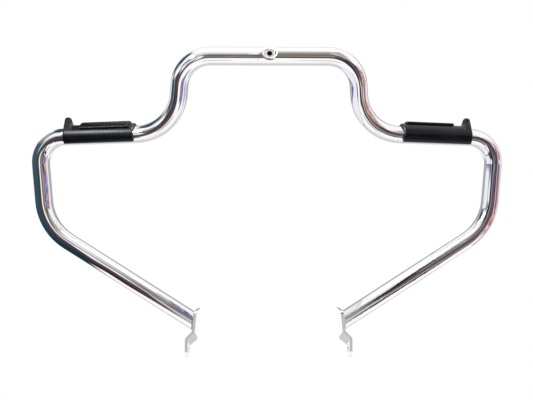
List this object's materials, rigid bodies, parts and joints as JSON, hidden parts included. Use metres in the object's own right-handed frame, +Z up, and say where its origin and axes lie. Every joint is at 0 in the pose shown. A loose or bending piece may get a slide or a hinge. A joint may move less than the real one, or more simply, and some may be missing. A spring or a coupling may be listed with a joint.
{
  "type": "motorcycle crash bars",
  "caption": "Chrome crash bar for a cruiser motorcycle: one bent tube with a bolt hole at its middle, rubber footrests on both wings and joggled bolt tabs welded to its lower ends.",
  "frame": {"origin": "on the tube's centre line at the bolt hole in the middle of the top bar", "axes": "+X along the top bar to the right as seen from the front, +Y to the back of the motorcycle, +Z up"},
  "size_m": [0.8936, 0.1137, 0.5653],
  "materials": {
    "chrome_tube": "polished chrome plate",
    "chrome_sleeve": "chrome plate, thin inside the hole",
    "chrome_tab": "chrome plate over cut and bent flat steel",
    "chrome_weld": "chrome plate over a rippled weld bead",
    "footrest_rubber": "moulded black rubber, half gloss"
  },
  "bodies": {
    "root": {"main_tube": "chrome_tube", "crush_sleeve": "chrome_sleeve", "mount_tab_left": "chrome_tab", "mount_tab_right": "chrome_tab", "weld_left": "chrome_weld", "weld_right": "chrome_weld", "footrest_left": "footrest_rubber", "footrest_right": "footrest_rubber"}
  },
  "joints": []
}
